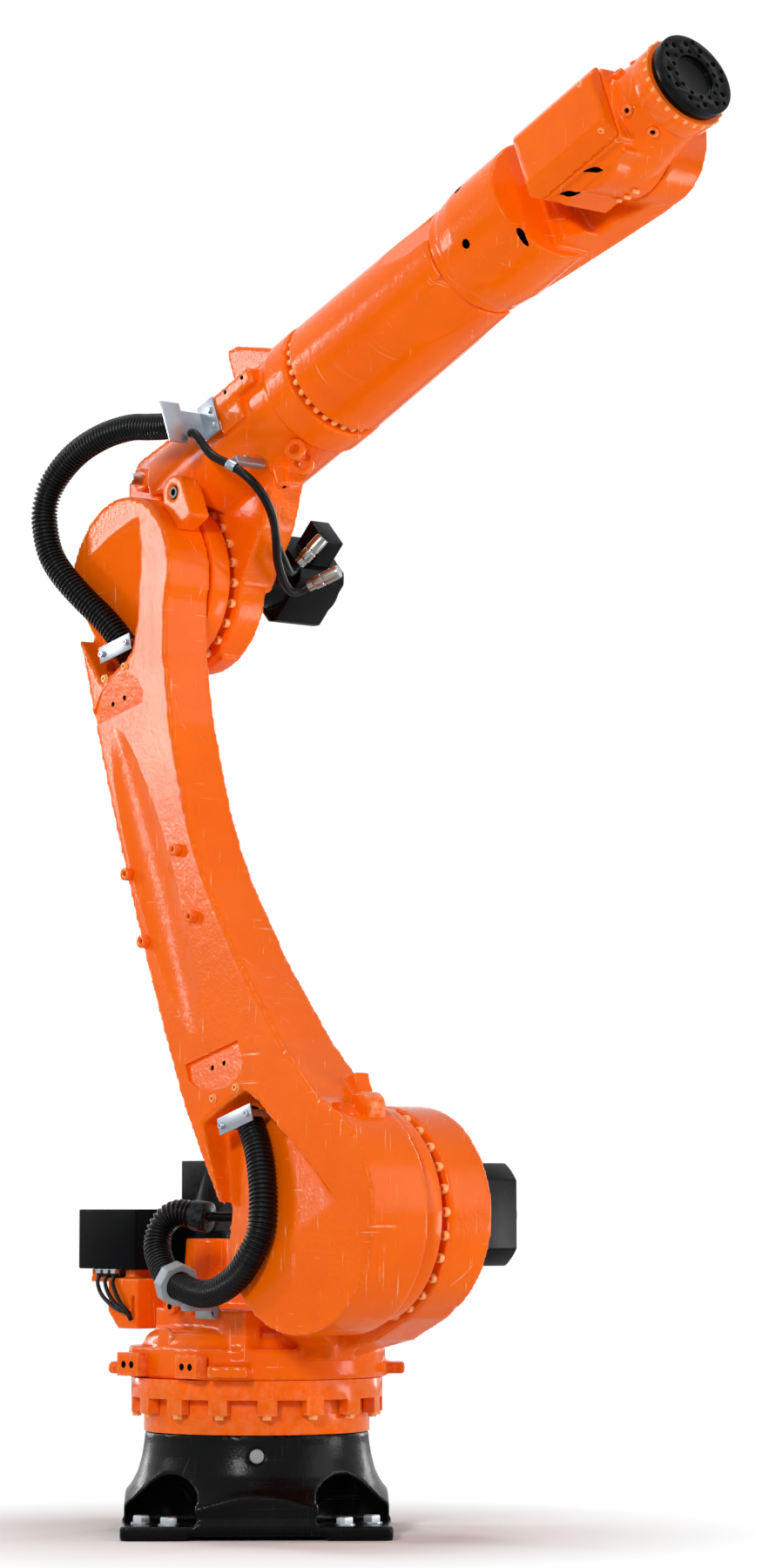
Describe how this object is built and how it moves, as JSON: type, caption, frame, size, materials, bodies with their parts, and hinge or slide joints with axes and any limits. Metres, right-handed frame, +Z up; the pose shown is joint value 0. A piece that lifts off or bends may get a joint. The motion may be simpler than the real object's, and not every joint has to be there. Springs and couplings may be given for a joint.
{
  "type": "industrial robot arm",
  "caption": "Floor-mounted six-axis handling robot: bolted base, turning carousel, curved link arm, arm with corrugated hoses, in-line wrist and tool flange.",
  "frame": {"origin": "on the floor under the turning axis, in the middle of the base's underside", "axes": "+Z up along the turning axis; +X to the right and +Y away from the viewer in the picture, square to the base's sides"},
  "size_m": [1.2582, 1.3555, 2.623],
  "materials": {
    "orange_paint": "gloss",
    "black_paint": "satin",
    "black_plastic": "matte",
    "hose_plastic": "satin",
    "zinc_steel": "satin",
    "grey_plastic": "matte",
    "aluminium": "satin"
  },
  "bodies": {
    "base": {"base_frame": "black_paint", "base_bolts": "zinc_steel", "base_plug": "grey_plastic", "a1_gear_ring": "orange_paint"},
    "carousel": {"a1_bearing_ring": "orange_paint", "a1_ring_bolts": "orange_paint", "a2_ring_bolts": "orange_paint", "carousel": "orange_paint", "stop_blocks": "orange_paint", "carousel_bosses": "orange_paint", "a1_motor": "black_paint", "a2_motor": "black_paint", "connection_box": "black_plastic", "box_bracket": "orange_paint", "box_leads": "hose_plastic", "hose_clamp": "grey_plastic", "hose_collar": "black_plastic", "hose_lower": "hose_plastic"},
    "link": {"link_arm": "orange_paint", "a2_ring": "orange_paint", "a3_ring": "orange_paint", "hose_plate_low": "aluminium", "hose_plate_high": "aluminium", "link_bosses": "orange_paint", "link_eye": "orange_paint", "hose_upper": "hose_plastic"},
    "arm": {"arm_housing": "orange_paint", "a3_ring_bolts": "orange_paint", "a3_motor": "black_paint", "hose_bracket": "aluminium", "motor_cable": "hose_plastic", "cable_clip": "aluminium", "cable_plugs": "zinc_steel", "lifting_eyes": "orange_paint"},
    "forearm": {"arm_tube": "orange_paint", "tube_bolts": "orange_paint", "a5_housing": "orange_paint"},
    "wrist": {"wrist_block": "orange_paint", "wrist_cover": "orange_paint", "wrist_bolts": "orange_paint", "neck_ring": "orange_paint"},
    "flange": {"tool_flange": "black_paint"}
  },
  "joints": [
    {"name": "a1_turn", "type": "hinge", "parent": "base", "child": "carousel", "pos_m": [0, 0, 0.3], "axis": [0, 0, 1], "range_deg": [-133, 236]},
    {"name": "a2_shoulder", "type": "hinge", "parent": "carousel", "child": "link", "pos_m": [0.25467, -0.32131, 0.592], "axis": [0.7837, 0.6211, 0], "range_deg": [-12, 108], "deforming": ["hose_lower"]},
    {"name": "a3_elbow", "type": "hinge", "parent": "link", "child": "arm", "pos_m": [-0.10736, 0.13545, 1.80305], "axis": [-0.7837, -0.6211, 0], "range_deg": [-67, 126], "deforming": ["hose_upper"]},
    {"name": "a4_roll", "type": "hinge", "parent": "arm", "child": "forearm", "pos_m": [0.14237, -0.17962, 2.15772], "axis": [0.5767, -0.7276, 0.3714], "range_deg": [-350, 350]},
    {"name": "a5_pitch", "type": "hinge", "parent": "forearm", "child": "wrist", "pos_m": [0.62567, -0.78939, 2.46892], "axis": [0.7837, 0.6211, 0], "range_deg": [-112, 112]},
    {"name": "a6_spin", "type": "hinge", "parent": "wrist", "child": "flange", "pos_m": [0.74966, -0.94584, 2.54877], "axis": [0.5767, -0.7276, 0.3714], "range_deg": [-350, 350]}
  ]
}
